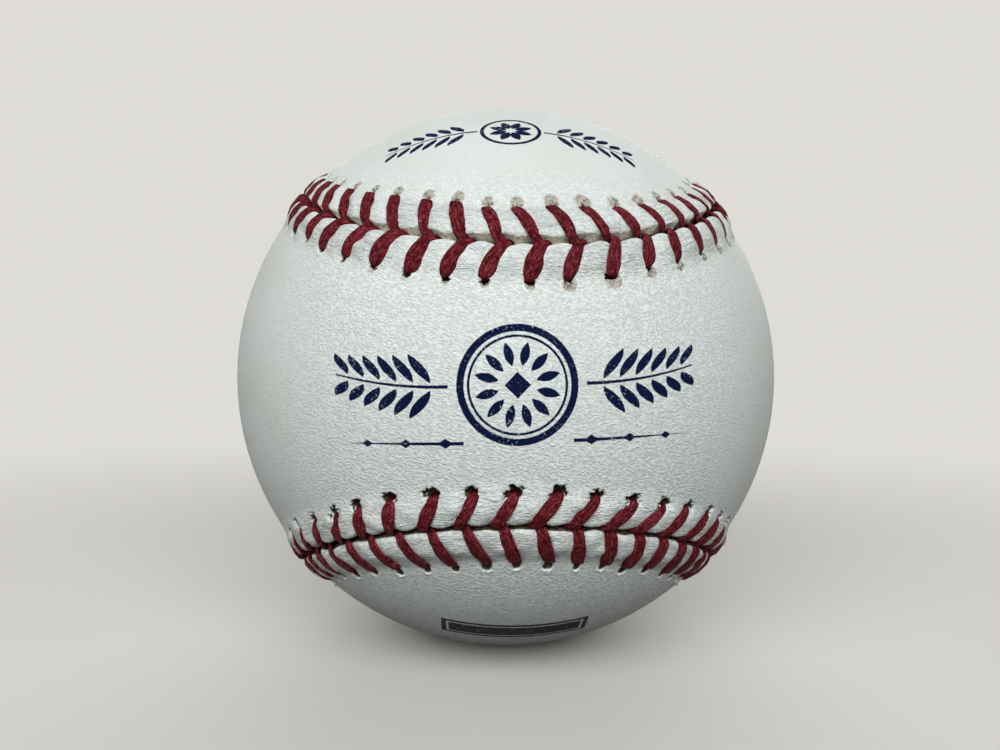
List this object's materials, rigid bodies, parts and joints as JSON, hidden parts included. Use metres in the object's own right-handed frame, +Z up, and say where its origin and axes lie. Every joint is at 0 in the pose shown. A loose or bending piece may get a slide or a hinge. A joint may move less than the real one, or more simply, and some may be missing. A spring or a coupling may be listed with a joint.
{
  "type": "baseball",
  "caption": "Ball with a cork and rubber centre, four wound layers and a cover of two figure-eight leather panels laced together with red thread.",
  "frame": {"origin": "centre of the ball", "axes": "+Z up, -Y out of the neck of the front panel, the seam's half-turn axis along Y"},
  "size_m": [0.0742, 0.0742, 0.0742],
  "materials": {
    "cork": "granulated cork bound in rubber",
    "black_rubber": "moulded, dull",
    "gasket_rubber": "moulded, dull",
    "red_rubber": "moulded, satin",
    "grey_wool": "wound yarn, fuzzy",
    "white_wool": "wound yarn, fuzzy",
    "cotton": "fine wound thread",
    "leather": "white tanned, fine pebble grain",
    "waxed_thread": "waxed and pressed flat"
  },
  "bodies": {
    "root": {"cork_core": "cork", "black_shell_upper": "black_rubber", "black_shell_lower": "black_rubber", "shell_gasket": "gasket_rubber", "red_rubber_cover": "red_rubber", "grey_wool_inner": "grey_wool", "white_wool": "white_wool", "grey_wool_outer": "grey_wool", "cotton_winding": "cotton", "cover_panel_front": "leather", "cover_panel_back": "leather", "lacing_thread_first": "waxed_thread", "lacing_thread_second": "waxed_thread"}
  },
  "joints": []
}
